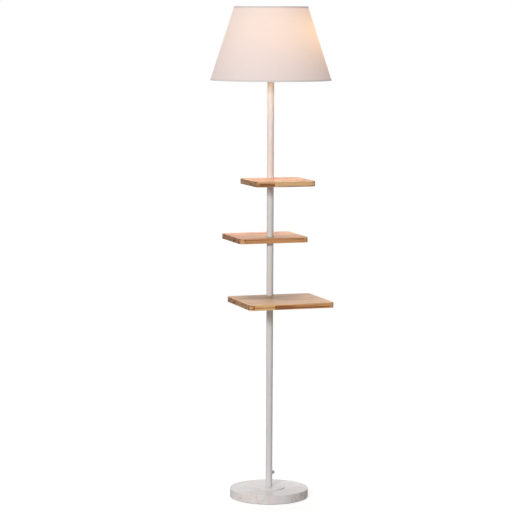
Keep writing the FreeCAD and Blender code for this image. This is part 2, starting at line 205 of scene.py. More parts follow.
def blended(tree, share, first, second, mode="MIX"):
    """A colour between two colours, each a value or a socket."""
    return add(tree, "ShaderNodeMix", {0: share, 6: first, 7: second}, data_type="RGBA",
               blend_type=mode).outputs[2]


def coloured(tree, surface, pattern, first, second):
    """Lets the surface's colour drift with a pattern between two colours."""
    tone = blended(tree, between(tree, pattern, 0, 1, 0.3, 0.7), first, second)
    tree.links.new(tone, surface.inputs["Base Color"])


def glossed(tree, surface, pattern, low, high):
    """Lets the surface's roughness drift with a pattern between two values."""
    tree.links.new(between(tree, pattern, low, high, 0.3, 0.7), surface.inputs["Roughness"])


def bumped(tree, surface, height, depth, strength=1.0):
    """Gives the surface relief; depth is in metres."""
    relief = add(tree, "ShaderNodeBump", {"Height": height, "Distance": depth,
                                          "Strength": strength})
    tree.links.new(relief.outputs[0], surface.inputs["Normal"])


def eased(outline, radius, steps=4):
    """The same section with its corners rounded; points on the axis stay."""
    points = [Vector((r, z)) for r, z in outline]
    longest_share = 0.4
    run_on = 0.3
    result = []
    for index, corner in enumerate(points):
        before, after = points[index - 1], points[(index + 1) % len(points)]
        to_before, to_after = before - corner, after - corner
        straight = abs(to_before.normalized().dot(to_after.normalized())) > 0.98
        if corner.x < 1e-6 or straight:
            result.append(tuple(corner))
            continue
        reach = min(radius, longest_share * to_before.length, longest_share * to_after.length)
        start = corner + to_before.normalized() * reach
        end = corner + to_after.normalized() * reach
        result.append(tuple(start + to_before.normalized() * reach * run_on))
        for step in range(steps + 1):
            t = step / steps
            bend = start * (1 - t) ** 2 + corner * 2 * t * (1 - t) + end * t ** 2
            result.append(tuple(bend))
        result.append(tuple(end + to_after.normalized() * reach * run_on))
    return result


def band(inner, outer, low, high, ease):
    """The section of a plain ring, or of a disc where inner is 0, with eased edges."""
    return eased([(inner, low), (outer, low), (outer, high), (inner, high)], ease)


def piece_from(bm, name, look, crease=35):
    """A piece from a finished bmesh: faces outward, smooth but for its real creases."""
    bmesh.ops.recalc_face_normals(bm, faces=bm.faces)
    mesh = bpy.data.meshes.new(name)
    bm.to_mesh(mesh)
    bm.free()
    mesh.materials.append(look)
    mesh.shade_smooth()
    mesh.set_sharp_from_angle(angle=math.radians(crease))
    piece = bpy.data.objects.new(name, mesh)
    scene.collection.objects.link(piece)
    return piece


def turned(name, sections, look, sides=96, crease=35):
    """Pieces of revolution about the pole's axis, each from a closed (radius, height) loop."""
    bm = bmesh.new()
    turns = [2 * math.pi * side / sides for side in range(sides)]
    for section in sections:
        rings = []
        for radius, height in section:
            if radius < 1e-6:
                rings.append([bm.verts.new((0, 0, height * MM))])
            else:
                rings.append([bm.verts.new((radius * MM * math.cos(turn),
                                            radius * MM * math.sin(turn), height * MM))
                              for turn in turns])
        for lower, upper in zip(rings, rings[1:] + rings[:1]):
            for side in range(sides if len(lower) + len(upper) > 2 else 0):
                corners = [lower[side % len(lower)], lower[(side + 1) % len(lower)],
                           upper[(side + 1) % len(upper)], upper[side % len(upper)]]
                bm.faces.new(list(dict.fromkeys(corners)))
    return piece_from(bm, name, look, crease)


def fit(piece, body, slot, *stands_for):
    """Fixes a finished piece to a CAD body, in place of the nodes that it stands for."""
    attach(piece, body)
    if stands_for:
        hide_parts(*stands_for)


felt_look, tree, surface, place = new_look("needle felt", Roughness=0.95, Sheen_Weight=0.4)
tufts = noise(tree, place, (900, 900, 900), detail=4)
strands = noise(tree, place, (260, 1900, 600), detail=3, turn=(0, 0, 0.6))
tangle = maths(tree, "MULTIPLY", tufts, strands)
tree.links.new(blended(tree, between(tree, tangle, 0, 1, 0.12, 0.4), paint(70, 70, 72),
                       paint(122, 120, 118)), surface.inputs["Base Color"])
bumped(tree, surface, tangle, 0.0006)
felt = turned("felt_pad_round", [band(0, felt_radius, 0, felt_thickness, felt_ease)], felt_look,
              sides=160)
fit(felt, "stand", "felt", "felt_pad")


# ---- marble foot --------------------------------------------------------------------
# A polished disc of white marble with soft grey veins, recessed underneath for its nut.
# Its rims are eased, and its weight keeps the lamp upright.
marble_radius = 127.5
marble_top = 30.0
marble_ease = 1.6
recess_radius = 32.0
recess_top = 12.5
stud_hole_radius = 5.08
marble_white = paint(251, 248, 248)
marble_grey = paint(236, 230, 230)
marble_cream = paint(244, 233, 226)
marble_blush = paint(247, 231, 229)
vein_grey = paint(150, 140, 136)
vein_half_width = 0.014

marble_look, tree, surface, place = new_look("polished marble", Specular_IOR_Level=0.5)
banks = noise(tree, place, (9, 9, 3), detail=3, distortion=0.8, shift=(0.7, 0.2, 0),
              turn=(0, 0, 0.5))
cloud = noise(tree, place, (14, 24, 10), detail=6, distortion=1.0, shift=(3, 1, 0),
              turn=(0, 0, -0.4))
blush = noise(tree, place, (13, 13, 5), detail=2, distortion=0.5, shift=(5, 8, 2))
vein_field = noise(tree, place, (7, 17, 6), detail=6, distortion=1.4, shift=(0.4, 2.2, 0),
                   turn=(0.2, 0, 0.9))
vein = maths(tree, "ABSOLUTE", maths(tree, "SUBTRACT", vein_field, 0.5))
vein = between(tree, vein, 1.0, 0.0, 0.0, vein_half_width)
vein = maths(tree, "MULTIPLY", vein, between(tree, banks, 0, 0.42, 0.47, 0.60), clamp=True)
stone = blended(tree, between(tree, cloud, 0, 1, 0.32, 0.68), marble_white, marble_grey)
stone = blended(tree, between(tree, banks, 0, 0.6, 0.45, 0.58), stone, marble_cream)
stone = blended(tree, between(tree, blush, 0, 0.6, 0.48, 0.62), stone, marble_blush)
stone = blended(tree, vein, stone, vein_grey)
tree.links.new(stone, surface.inputs["Base Color"])
tree.links.new(between(tree, cloud, 0.06, 0.12), surface.inputs["Roughness"])
bumped(tree, surface, vein, 0.00004)
marble = turned("marble_disc", [eased([(stud_hole_radius, recess_top),
                                       (recess_radius, recess_top),
                                       (recess_radius, felt_thickness),
                                       (marble_radius, felt_thickness),
                                       (marble_radius, marble_top),
                                       (stud_hole_radius, marble_top)], marble_ease, steps=6)],
                marble_look, sides=256)
fit(marble, "stand", "stone", "marble_foot")


# ---- foot fastenings ----------------------------------------------------------------
# Bright zinc-plated steel: a large washer, a split washer and a hex nut in the recess,
# on the hollow stud that ties pole and stone together. The CAD shapes stay as they are.
def darker(colour, share):
    """The same colour at a share of its strength."""
    return tuple(share * part for part in colour[:3]) + (1.0,)


def metal_look(name, colour, roughness):
    """A bare or plated metal with fine drawing lines and a slightly uneven gloss."""
    look, tree, surface, place = new_look(name, Metallic=1.0)
    lines = noise(tree, place, (300, 300, 2400), detail=3)
    clouds = noise(tree, place, (60, 60, 60), detail=3)
    coloured(tree, surface, clouds, colour, darker(colour, 0.8))
    glossed(tree, surface, lines, roughness, roughness + 0.12)
    bumped(tree, surface, lines, 0.00003)
    return look


def dress(look, *names):
    """Gives carried-over CAD nodes their finish."""
    for name in names:
        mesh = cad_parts[name].data
        mesh.materials.clear()
        mesh.materials.append(look)


zinc_look = metal_look("zinc plate", paint(196, 198, 202), 0.28)
dress(zinc_look, "foot_washer", "foot_lock_washer", "foot_nut", "foot_stud")


# ---- cover plate --------------------------------------------------------------------
# A pressed steel plate that hides the hole in the stone. It is powder coated like the
# pole, and a shallow groove sets off the bead round its rim.
plate_radius = 51.0
plate_top = 33.0
plate_ease = 1.1
bead_inner_radius = 48.4
hollow_depth = 0.35
hollow_radii = (47.2, 42.4)
hollow_end_radius = 32.4


def coated_look(name, colour, roughness, shine=0.35):
    """A powder coat: satin, with a very fine orange-peel relief."""
    look, tree, surface, place = new_look(name, Specular_IOR_Level=shine)
    peel = noise(tree, place, (900, 900, 900))
    film = noise(tree, place, (35, 35, 9), detail=3)
    coloured(tree, surface, film, colour, darker(colour, 0.94))
    glossed(tree, surface, film, roughness - 0.04, roughness + 0.06)
    bumped(tree, surface, peel, 0.00004, 0.6)
    return look


plate_look = coated_look("cover plate coat", paint(244, 240, 239), 0.2, shine=0.6)
cover = turned("cover_plate_disc",
               [eased([(stud_hole_radius, marble_top), (plate_radius, marble_top),
                       (plate_radius, plate_top), (bead_inner_radius, plate_top)]
                      + [(radius, plate_top - hollow_depth) for radius in hollow_radii]
                      + [(hollow_end_radius, plate_top), (stud_hole_radius, plate_top)],
                      plate_ease)], plate_look, sides=160)
fit(cover, "stand", "white_metal", "cover_plate")


# ---- pole ---------------------------------------------------------------------------
# Five lengths of 22 mm steel tube, powder coated white, screwed end to end through tapped
# plugs. The cut ends are eased, so a fine line shows where two lengths meet.
tube_radius = 11.0
tube_bore_radius = 10.0
tube_ease = 0.9
seam_gap = 0.22
long_length = 306.5
short_length = 172.0
top_length = 316.0
board_room = 18.6
tube_lengths = [(long_length, 0.0), (long_length, board_room), (short_length, board_room),
                (short_length, board_room), (top_length, 0.0)]
gland_height = 80.0
gland_hole_radius = 4.78
drill_start = 2.0
drill_end = 20.0

pole_look = coated_look("white tube coat", paint(228, 227, 226), 0.38)


def carved(piece, cutter):
    """The piece with a second piece cut out of it; the second one is used up."""
    knife = piece.modifiers.new("cut", "BOOLEAN")
    knife.object = cutter
    knife.solver = "EXACT"
    cut = bpy.data.meshes.new_from_object(
        piece.evaluated_get(bpy.context.evaluated_depsgraph_get()))
    piece.modifiers.clear()
    piece.data = cut
    bpy.data.objects.remove(cutter)


def facing_x(piece, height):
    """Lays a piece made about the Z axis along +X, at a height up the pole."""
    piece.data.transform(Matrix.Translation((0, 0, height * MM))
                         @ Matrix.Rotation(math.radians(90), 4, "Y"))
    return piece


def rod_section(radius, low, high):
    """The section of a plain rod with sharp ends."""
    return [(0, low), (radius, low), (radius, high), (0, high)]


tube_tops = []
tube_bottom = plate_top
for count, (length, room_above) in enumerate(tube_lengths, 1):
    tube_top = tube_bottom + length
    tube = turned("tube_length_%d" % count,
                  [band(tube_bore_radius, tube_radius, tube_bottom + seam_gap,
                        tube_top - seam_gap, tube_ease)], pole_look, sides=72)
    if count == 1:
        drill = turned("drill", [rod_section(gland_hole_radius, drill_start, drill_end)],
                       pole_look)
        carved(tube, facing_x(drill, gland_height))
    fit(tube, "stand", "white_metal", "pole_section_%d" % count)
    tube_tops.append(tube_top)
    tube_bottom = tube_top + room_above

dress(zinc_look, "pole_inserts_1", "pole_inserts_2", "pole_inserts_3", "pole_inserts_4",
      "pole_inserts_5", "seam_nipple", "lampholder_nipple", "bottom_shelf_nipple",
      "middle_shelf_nipple", "top_shelf_nipple")


# ---- shelf boards -------------------------------------------------------------------
# Staves of a warm-toned hardwood glued side by side and end to end, planed, with rounded
# corners and eased edges under a satin lacquer. Each board is bored near one edge and
# turns on the nipple that passes through it.
board_thickness = 17.0
board_corner = 16.0
board_ease = 1.2
corner_points = 20
seat_radius = 11.3
seat_depth = 0.2
washer_thickness = 0.8
stave_width = 0.047
stave_length = 0.31
stave_stagger = 0.618
rings_per_metre = 175.0


def diagonal(tree, across, upward):
    """The length of a line that goes so far across and so far up."""
    return maths(tree, "SQRT", maths(tree, "ADD", maths(tree, "MULTIPLY", across, across),
                                     maths(tree, "MULTIPLY", upward, upward)))


def wood_look(name, tones, near, joint, log_centre, seed):
    """Staves glued side by side and end to end, each with its own rings and tone; the front
    one has an end joint at a given place along it."""
    early, late, deep = tones
    look, tree, surface, place = new_look(name, Specular_IOR_Level=0.32)
    calc = partial(maths, tree)
    mix = partial(blended, tree)
    axes = add(tree, "ShaderNodeSeparateXYZ", {0: place}).outputs

    # Which stave a point is in, and what chance gives that stave.
    row = calc("FLOOR", calc("DIVIDE", calc("SUBTRACT", axes[1], near * MM), stave_width))
    along = calc("MULTIPLY_ADD", axes[0], 1 / stave_length, -joint * MM / stave_length)
    along = calc("FLOOR", calc("MULTIPLY_ADD", row, stave_stagger, along))
    stave = calc("MULTIPLY_ADD", along, 0.371, calc("ADD", row, seed))
    chance = add(tree, "ShaderNodeTexWhiteNoise", {"W": stave}, noise_dimensions="1D").outputs
    redness = add(tree, "ShaderNodeSeparateColor", {0: chance["Color"]}).outputs[1]
    jump = add(tree, "ShaderNodeVectorMath", {0: chance["Color"], 1: (3.0, 3.0, 3.0), 2: place},
               operation="MULTIPLY_ADD").outputs[0]

    # Growth rings about the log's centre: each darkens slowly and ends sharply.
    wander = noise(tree, jump, (2.2, 7, 7), detail=3)
    fine_wander = noise(tree, jump, (9, 60, 60))
    centre_y, centre_z, slant = log_centre
    across = calc("SUBTRACT", axes[1], centre_y * MM)
    across = calc("MULTIPLY_ADD", chance["Value"], 0.11, across)
    across = calc("MULTIPLY_ADD", axes[0], slant, across)
    radius = diagonal(tree, across, calc("SUBTRACT", axes[2], centre_z * MM))
    radius = calc("MULTIPLY_ADD", wander, 0.026, radius)
    radius = calc("MULTIPLY_ADD", fine_wander, 0.0024, radius)
    ring = calc("FRACT", calc("MULTIPLY", radius, rings_per_metre))
    rise = between(tree, ring, 0, 1, 0.25, 0.93)
    fall = between(tree, ring, 1, 0, 0.93, 1.0)
    late_share = calc("MULTIPLY", calc("POWER", rise, 1.6), fall, clamp=True)

    # Streaks, fibres and pores along the grain.
    streak = noise(tree, jump, (4, 60, 150), detail=3)
    fibre = noise(tree, place, (26, 900, 900), detail=3)
    pore = noise(tree, place, (70, 1500, 1500), detail=1)
    pore = between(tree, pore, 1, 0, 0.27, 0.36)

    # Which way the surface faces: faces that are not flat get a painted shade, darker and warmer
    # than the flat faces; end grain is greyer; the arrises get a painted shade line.
    facing = add(tree, "ShaderNodeSeparateXYZ",
                 {0: add(tree, "ShaderNodeTexCoord").outputs["Normal"]}).outputs
    flat = calc("ABSOLUTE", facing[2])
    end = calc("ABSOLUTE", facing[0])
    end_share = between(tree, end, 0, 1, 0.75, 0.97)
    arris_shade = calc("MULTIPLY", calc("MULTIPLY", flat, end), 2.0, clamp=True)
    streak_share = calc("MULTIPLY", between(tree, streak, 0, 1, 0.49, 0.62),
                        between(tree, flat, 1.0, 0.68))

    tone = mix(calc("MULTIPLY", late_share, 0.6), early, late)
    tone = mix(calc("MULTIPLY", chance["Value"], 0.5), tone, late)
    tone = mix(calc("MULTIPLY", redness, 0.7), tone, (0.86, 0.72, 0.64, 1), "MULTIPLY")
    tone = mix(streak_share, tone, deep)
    tone = mix(between(tree, fibre, 0, 0.30, 0.35, 0.7), tone, late)
    tone = mix(calc("MULTIPLY", pore, 0.4), tone, deep)
    # Painted shade: faces that are not flat are darkened and warmed.
    tone = mix(between(tree, flat, 1, 0, 0.2, 0.9), tone, (0.88, 0.77, 0.57, 1), "MULTIPLY")
    tone = mix(end_share, tone, (0.60, 0.60, 0.68, 1), "MULTIPLY")
    # Painted shade: a dark line along the arrises.
    tone = mix(calc("MULTIPLY", arris_shade, 0.7), tone, (0.35, 0.28, 0.24, 1), "MULTIPLY")
    tree.links.new(tone, surface.inputs["Base Color"])
    gloss = between(tree, fibre, 0.32, 0.44, 0.3, 0.7)
    tree.links.new(calc("MULTIPLY_ADD", end_share, 0.3, gloss), surface.inputs["Roughness"])
    bumped(tree, surface, calc("MULTIPLY_ADD", pore, -1.0, fibre), 0.00005, 0.7)
    return look


def rounded_loop(width, near, far, inset, height):
    """Points round a board's outline, moved in from its edge, at one height."""
    half = width / 2 - inset
    low, high = near + inset, far - inset
    turn = board_corner - inset
    centres = [(half - turn, high - turn), (-half + turn, high - turn),
               (-half + turn, low + turn), (half - turn, low + turn)]

    def on_corner(quarter, quarters_round):
        x, y = centres[quarter % 4]
        angle = math.pi / 2 * quarters_round
        return Vector((x + turn * math.cos(angle), y + turn * math.sin(angle), height))

    points = []
    for quarter in range(4):
        points += [on_corner(quarter, quarter + step / (corner_points - 1))
                   for step in range(corner_points)]
        here, there = points[-1], on_corner(quarter + 1, quarter + 1)
        points += [here.lerp(there, step / (corner_points + 1))
                   for step in range(1, corner_points + 1)]
    return points


def board_piece(name, width, near, far, bottom, look):
    """One board as a run of loops from its bore, over its top and edges, and back below."""
    top = bottom + board_thickness
    flat_start = board_ease * 1.4
    edge_loop = partial(rounded_loop, width, near, far)
    outline = edge_loop(0, 0)

    def round_loop(radius, height):
        return [Vector((radius * point.x, radius * point.y, height))
                for point in (point.normalized() for point in outline)]

    def shares_of_the_way(first, second):
        return [[a.lerp(b, share) for a, b in zip(first, second)] for share in (0.2, 0.5, 0.8)]

    seat_rim = round_loop(seat_radius, top)
    top_edge = edge_loop(flat_start, top)
    bore_rim = round_loop(stud_hole_radius, bottom)
    bottom_edge = edge_loop(flat_start, bottom)
    eases = [math.pi / 2 * step / 5 for step in range(6)]
    loops = [bore_rim, round_loop(stud_hole_radius, top - seat_depth),
             round_loop(seat_radius, top - seat_depth), seat_rim]
    loops += shares_of_the_way(seat_rim, top_edge) + [top_edge]
    loops += [edge_loop(board_ease * (1 - math.sin(ease)), top - board_ease * (1 - math.cos(ease)))
              for ease in eases]
    loops += [edge_loop(0, top - flat_start), edge_loop(0, bottom + flat_start)]
    loops += [edge_loop(board_ease * (1 - math.cos(ease)),
                        bottom + board_ease * (1 - math.sin(ease))) for ease in eases]
    loops += [bottom_edge] + shares_of_the_way(bottom_edge, bore_rim)

    bm = bmesh.new()
    rows = [[bm.verts.new(point * MM) for point in loop] for loop in loops]
    for row, following in zip(rows, rows[1:] + rows[:1]):
        for index in range(len(row)):
            other = (index + 1) % len(row)
            bm.faces.new((row[index], row[other], following[other], following[index]))
    return piece_from(bm, name, look)


# Name, width, near and far edge, front joint, log centre, seed, and early, late and deep tone.
boards = [
    ("bottom", 282.0, -228.0, 20.0, 60, (-160, 560, 0.10), 8.9,
     (paint(255, 225, 183), paint(246, 192, 144), paint(142, 82, 48))),
    ("middle", 234.0, -46.0, 158.0, 22, (40, 730, -0.13), 29.2,
     (paint(250, 209, 169), paint(218, 161, 121), paint(120, 66, 42))),
    ("top", 198.0, -165.0, 20.0, -40, (-90, 950, 0.16), 48.4,
     (paint(252, 226, 192), paint(234, 188, 150), paint(138, 84, 52))),
]
board_bottoms = {}
for (name, width, near, far, joint, log_centre, seed, tones), tube_top in zip(boards,
                                                                              tube_tops[1:4]):
    board_bottoms[name] = tube_top + washer_thickness
    look = wood_look(name + " board wood", tones, near, joint, log_centre, seed)
    board = board_piece(name + "_board_wood", width, near, far, board_bottoms[name], look)
    fit(board, name + "_board", "wood", name + "_shelf")


# ---- board washers ------------------------------------------------------------------
# Pairs of thin natural nylon washers above and below each board, which let it turn and
# keep the tube's end off the lacquer.
washer_radius = 10.3
washer_bore_radius = 5.08
washer_ease = 0.15


def moulded_look(name, colour, roughness, grain=700):
    """A moulded plastic: even, with a fine matt grain from the tool."""
    look, tree, surface, place = new_look(name)
    speck = noise(tree, place, (grain, grain, grain))
    cloud = noise(tree, place, (70, 70, 70))
    coloured(tree, surface, cloud, colour, darker(colour, 0.95))
    glossed(tree, surface, speck, roughness - 0.05, roughness + 0.08)
    bumped(tree, surface, speck, 0.00003)
    return look


nylon_look = moulded_look("natural nylon", paint(222, 217, 206), 0.4)
for name, under in board_bottoms.items():
    over = under + board_thickness
    washers = turned(name + "_board_washers",
                     [band(washer_bore_radius, washer_radius, low, high, washer_ease)
                      for low, high in ((under - washer_thickness, under),
                                        (over - seat_depth, over + washer_thickness))],
                     nylon_look, sides=64)
    fit(washers, "stand", "nylon", name + "_shelf_washers")


# ---- cord gland ---------------------------------------------------------------------
# A grey moulded collar set in the side of the lowest tube, where a lead enters. It tapers
# outward in three steps and is held from inside by a thin ring nut.
gland_inner = 6.0
gland_collar_start = 9.0
gland_shank_end = 12.0
gland_tip = 18.0
gland_bore_radius = 3.1
gland_shank_radius = 4.7
gland_steps = [(7.0, gland_collar_start), (6.2, 12.6), (5.6, 12.9), (5.6, 13.5), (5.8, 13.8),
               (5.2, 15.0), (4.7, 15.3), (4.7, 15.8), (4.9, 16.1), (4.3, gland_tip)]
collar_ease = 0.25
shank_ease = 0.2
core_half_length = 20.0

gland_look = moulded_look("grey gland", paint(180, 178, 176), 0.5)
gland = turned("gland_collar",
               [eased([(gland_bore_radius, gland_inner), (gland_shank_radius, gland_inner),
                       (gland_shank_radius, gland_collar_start)] + gland_steps
                      + [(gland_bore_radius, gland_tip)], collar_ease)], gland_look, sides=64)
shank = turned("gland_shank",
               [band(gland_bore_radius, gland_shank_radius, gland_inner, gland_shank_end,
                     shank_ease)], gland_look, sides=64)
tube_core = turned("tube_core", [rod_section(tube_radius, gland_height - core_half_length,
                                             gland_height + core_half_length)], gland_look)
carved(facing_x(gland, gland_height), tube_core)
joined = bmesh.new()
joined.from_mesh(gland.data)
joined.from_mesh(facing_x(shank, gland_height).data)
joined.to_mesh(gland.data)
joined.free()
bpy.data.objects.remove(shank)
fit(gland, "stand", "white_plastic", "cord_gland")
dress(nylon_look, "gland_nut")


# ---- lead inside the pole -----------------------------------------------------------
# A round white PVC lead that turns up from the gland and hangs in the tube, with its two
# coloured cores bared at the top for the terminals.
lead_radius = 2.6
lead_top = 1373.8
lead_bend = 6.0
lead_bend_start = 1.2
core_radius = 0.9
core_offset = 1.3
core_hidden = 6.0
core_entry = 1380.8
terminal_reach = 6.5


def wire_run(name, path, radius, look):
    """A round lead that follows a smooth open line through the points of its path."""
    curve = bpy.data.curves.new(name, "CURVE")
    curve.dimensions = "3D"
    curve.bevel_depth = radius * MM
    curve.bevel_resolution = 4
    curve.use_fill_caps = True
    spline = curve.splines.new("NURBS")
    spline.points.add(len(path) - 1)
    for point, (x, y, z) in zip(spline.points, path):
        point.co = (x * MM, y * MM, z * MM, 1)
    spline.order_u = 3
    spline.use_endpoint_u = True
    spline.resolution_u = 6
    carrier = bpy.data.objects.new(name, curve)
    scene.collection.objects.link(carrier)
    mesh = bpy.data.meshes.new_from_object(
        carrier.evaluated_get(bpy.context.evaluated_depsgraph_get()))
    bpy.data.objects.remove(carrier)
    mesh.materials.clear()
    mesh.materials.append(look)
    piece = bpy.data.objects.new(name, mesh)
    scene.collection.objects.link(piece)
    return piece


lead = wire_run("lead_jacket", [(gland_inner, 0, gland_height),
                                (lead_bend_start, 0, gland_height),
                                (0, 0, gland_height + lead_bend), (0, 0, 500), (0, 0, 940),
                                (0, 0, lead_top)],
                lead_radius, moulded_look("white lead jacket", paint(226, 224, 220), 0.38))
fit(lead, "stand", "lead_pvc", "internal_lead")
for side, name, colour in ((-1, "brown", paint(92, 58, 40)), (1, "blue", paint(56, 96, 150))):
    core = wire_run("lead_core_" + name,
                    [(side * core_offset, 0, lead_top - core_hidden),
                     (side * core_offset, 0, lead_top), (side * core_offset, 0, core_entry),
                     (side * terminal_reach, 0, core_entry)],
                    core_radius, moulded_look(name + " core", colour, 0.38))
    fit(core, "stand", "lead_pvc")


# ---- lampholder ---------------------------------------------------------------------
# A white thermoplastic screw lampholder: a cap on the pole's end, a ceramic block with the
# terminals and contacts, a brass screw shell, and a threaded skirt screwed onto the cap.
holder_bottom = tube_tops[-1]
holder_joint = holder_bottom + 26.0
holder_radius = 20.0
holder_bore_radius = 18.0
holder_ease = 0.5
bush_radius = 7.5
bush_top = holder_bottom + 9.0
neck_radius = 10.0
neck_flare = 1.0
neck_top = holder_bottom + 8.0
shoulder_radius = 16.5
shoulder_low = holder_bottom + 12.6
shoulder_high = holder_bottom + 17.0
cup_floor = holder_bottom + 18.0
block_seat = holder_bottom + 22.0
block_radius = 16.0
groove_low = holder_joint - 6.0
groove_high = holder_joint - 4.0
groove_depth = 0.5
groove_slope = 0.6

holder_look = moulded_look("white thermoplastic", paint(232, 229, 222), 0.36)
brass_look = metal_look("brass", paint(214, 178, 104), 0.24)
ceramic_look = moulded_look("glazed ceramic", paint(236, 232, 224), 0.22, grain=500)
cap = turned("lampholder_cup",
             [eased([(bush_radius, holder_bottom), (neck_radius, holder_bottom),
                     (neck_radius + neck_flare, neck_top), (shoulder_radius, shoulder_low),
                     (holder_radius, shoulder_high), (holder_radius, groove_low),
                     (holder_radius - groove_depth, groove_low + groove_slope),
                     (holder_radius - groove_depth, groove_high - groove_slope),
                     (holder_radius, groove_high), (holder_radius, holder_joint),
                     (holder_bore_radius, holder_joint), (holder_bore_radius, block_seat),
                     (block_radius, block_seat), (block_radius, cup_floor),
                     (bush_radius, bush_top)], holder_ease)], holder_look)
fit(cap, "stand", "white_plastic", "lampholder_cap")
dress(brass_look, "lampholder_bush", "terminal_blocks", "contact_rivets", "centre_contact")
dress(zinc_look, "lampholder_grub_screw", "terminal_screws")
dress(ceramic_look, "lampholder_insulator")


def new_rule(name, sizes, takes_mesh=True):
    """An empty Geometry Nodes tree with named sizes; returns it and its two end nodes."""
    rule = bpy.data.node_groups.new(name, "GeometryNodeTree")
    face = rule.interface
    if takes_mesh:
        face.new_socket("Geometry", in_out="INPUT", socket_type="NodeSocketGeometry")
    for label, kind in sizes.items():
        face.new_socket(label, in_out="INPUT", socket_type="NodeSocket" + kind)
    face.new_socket("Geometry", in_out="OUTPUT", socket_type="NodeSocketGeometry")
    return rule, rule.nodes.new("NodeGroupInput").outputs, rule.nodes.new("NodeGroupOutput")


def end_rule(rule, end, geometry, look):
    """Closes a tree with Realize Instances and Set Material."""
    real = add(rule, "GeometryNodeRealizeInstances", {0: geometry})
    dressed = add(rule, "GeometryNodeSetMaterial", {"Geometry": real.outputs[0],
                                                    "Material": look})
    rule.links.new(dressed.outputs[0], end.inputs[0])


def grown(piece, rule, **sizes):
    """Runs a rule on a piece and keeps the result as the piece's plain mesh."""
    modifier = piece.modifiers.new("rule", "NODES")
    modifier.node_group = rule
    for item in rule.interface.items_tree:
        if item.in_out == "INPUT" and item.name.replace(" ", "_") in sizes:
            modifier[item.identifier] = sizes[item.name.replace(" ", "_")]
    bpy.context.view_layer.update()
    depsgraph = bpy.context.evaluated_depsgraph_get()
    mesh = bpy.data.meshes.new_from_object(piece.evaluated_get(depsgraph),
                                           preserve_all_data_layers=True, depsgraph=depsgraph)
    piece.modifiers.clear()
    piece.data = mesh
    return piece


def axes_of(tree):
    """The three coordinates of each point of a tree's mesh."""
    position = add(tree, "GeometryNodeInputPosition").outputs[0]
    return add(tree, "ShaderNodeSeparateXYZ", {0: position}).outputs


def spun(tree, radius, angle, height=0.0):
    """The place at a radius, an angle and a height."""
    return add(tree, "ShaderNodeCombineXYZ",
               {0: maths(tree, "MULTIPLY", maths(tree, "COSINE", angle), radius),
                1: maths(tree, "MULTIPLY", maths(tree, "SINE", angle), radius),
                2: height}).outputs[0]


# A screw thread: the surface beyond a least radius sinks and rises once a turn and a pitch,
# and runs in and out over one pitch at each end.
thread_rule, sizes, end = new_rule("screw thread", {
    "Pitch": "Float", "Depth": "Float", "Bottom": "Float", "Top": "Float",
    "Least Radius": "Float", "Finish": "Material"})
calc = partial(maths, thread_rule)
axes = axes_of(thread_rule)
angle = calc("ARCTAN2", axes[1], axes[0])
climb = calc("MULTIPLY", calc("DIVIDE", axes[2], sizes["Pitch"]), 2 * math.pi)
wave = calc("COSINE", calc("SUBTRACT", climb, angle))
wave = calc("MULTIPLY", calc("SUBTRACT", wave, 1.0), 0.5)
run_in = calc("DIVIDE", calc("SUBTRACT", axes[2], sizes["Bottom"]), sizes["Pitch"], clamp=True)
run_out = calc("DIVIDE", calc("SUBTRACT", sizes["Top"], axes[2]), sizes["Pitch"], clamp=True)
outside = calc("GREATER_THAN", diagonal(thread_rule, axes[0], axes[1]), sizes["Least Radius"])
amount = calc("MULTIPLY", wave, calc("MULTIPLY", run_in, run_out))
amount = calc("MULTIPLY", calc("MULTIPLY", amount, outside), sizes["Depth"])
threaded = add(thread_rule, "GeometryNodeSetPosition",
               {"Geometry": sizes["Geometry"], "Offset": spun(thread_rule, amount, angle)})
end_rule(thread_rule, end, threaded.outputs[0], sizes["Finish"])


def stepped(radius, low, high, steps):
    """A straight run of a section, cut finely enough to carry a thread."""
    return [(radius, low + (high - low) * step / steps) for step in range(steps + 1)]


skirt_top = holder_joint + 31.0
skirt_shoulder_radius = 23.0
skirt_shoulder_top = holder_joint + 3.0
skirt_ledge_radius = 15.02
skirt_throat_radius = 14.02
shell_bottom = holder_joint + 6.0
shell_top = holder_joint + 26.0
shell_radius = 14.0
shell_bore_radius = 13.6
shell_lip_radius = 11.0
skirt_pitch = 2.5
skirt_thread_depth = 0.7
cap_pitch = 3.6
shell_thread_depth = 0.35

skirt = turned("lampholder_sleeve",
               [[(holder_bore_radius, holder_joint), (holder_bore_radius + 0.3, holder_joint),
                 (skirt_shoulder_radius - 0.4, holder_joint),
                 (skirt_shoulder_radius - 0.1, holder_joint + 0.15),
                 (skirt_shoulder_radius, holder_joint + 0.5),
                 (skirt_shoulder_radius, skirt_shoulder_top - 0.5),
                 (skirt_shoulder_radius - 0.1, skirt_shoulder_top - 0.15),
                 (skirt_shoulder_radius - 0.4, skirt_shoulder_top)]
                + stepped(holder_radius, skirt_shoulder_top, skirt_top - 0.5, 90)
                + [(holder_radius - 0.5, skirt_top), (skirt_throat_radius + 0.38, skirt_top),
                   (skirt_throat_radius, skirt_top - 0.4),
                   (skirt_throat_radius, shell_bottom + 2), (skirt_ledge_radius, shell_bottom),
                   (holder_bore_radius, shell_bottom)]],
               holder_look, sides=120, crease=50)
grown(skirt, thread_rule, Pitch=skirt_pitch * MM, Depth=skirt_thread_depth * MM,
      Bottom=(skirt_shoulder_top + 1) * MM, Top=(skirt_top - 0.4) * MM,
      Least_Radius=(holder_radius - 1) * MM, Finish=holder_look)
fit(skirt, "stand", "white_plastic", "lampholder_skirt")

